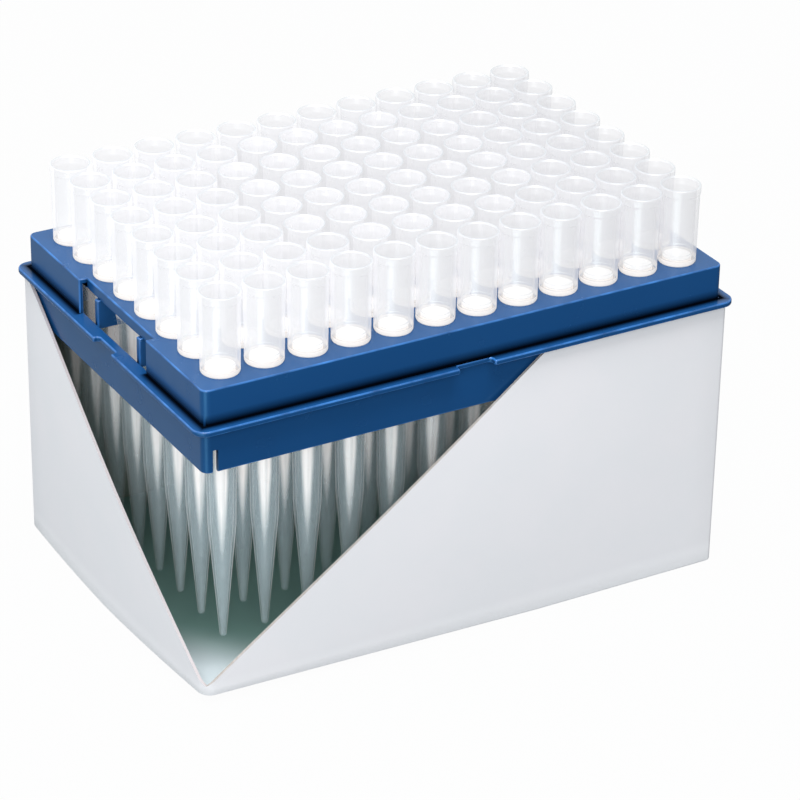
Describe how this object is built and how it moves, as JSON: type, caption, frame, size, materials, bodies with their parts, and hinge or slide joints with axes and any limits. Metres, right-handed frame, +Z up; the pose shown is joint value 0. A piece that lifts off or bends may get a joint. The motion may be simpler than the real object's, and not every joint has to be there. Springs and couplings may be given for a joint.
{
  "type": "box of pipette tips",
  "caption": "Open card box holding a blue plastic tray of clear filter pipette tips on a 9 mm grid, with one corner of the card cut away to show them.",
  "frame": {"origin": "middle of the carton's underside", "axes": "+Z up along the tips, +X along the long side away from the cut-away corner, +Y to the back; the front wall faces -Y"},
  "size_m": [0.1168, 0.08, 0.0818],
  "materials": {
    "card": "smooth white coated paperboard",
    "tray": "moulded blue polypropylene, satin",
    "tip": "translucent natural polypropylene",
    "filter": "porous white polyethylene"
  },
  "bodies": {
    "root": {"carton": "card", "tip_tray": "tray", "tips_column_01": "tip", "tips_column_02": "tip", "tips_column_03": "tip", "tips_column_04": "tip", "tips_column_05": "tip", "tips_column_06": "tip", "tips_column_07": "tip", "tips_column_08": "tip", "tips_column_09": "tip", "tips_column_10": "tip", "tips_column_11": "tip", "tips_column_12": "tip", "filters_column_01": "filter", "filters_column_02": "filter", "filters_column_03": "filter", "filters_column_04": "filter", "filters_column_05": "filter", "filters_column_06": "filter", "filters_column_07": "filter", "filters_column_08": "filter", "filters_column_09": "filter", "filters_column_10": "filter", "filters_column_11": "filter", "filters_column_12": "filter"}
  },
  "joints": []
}
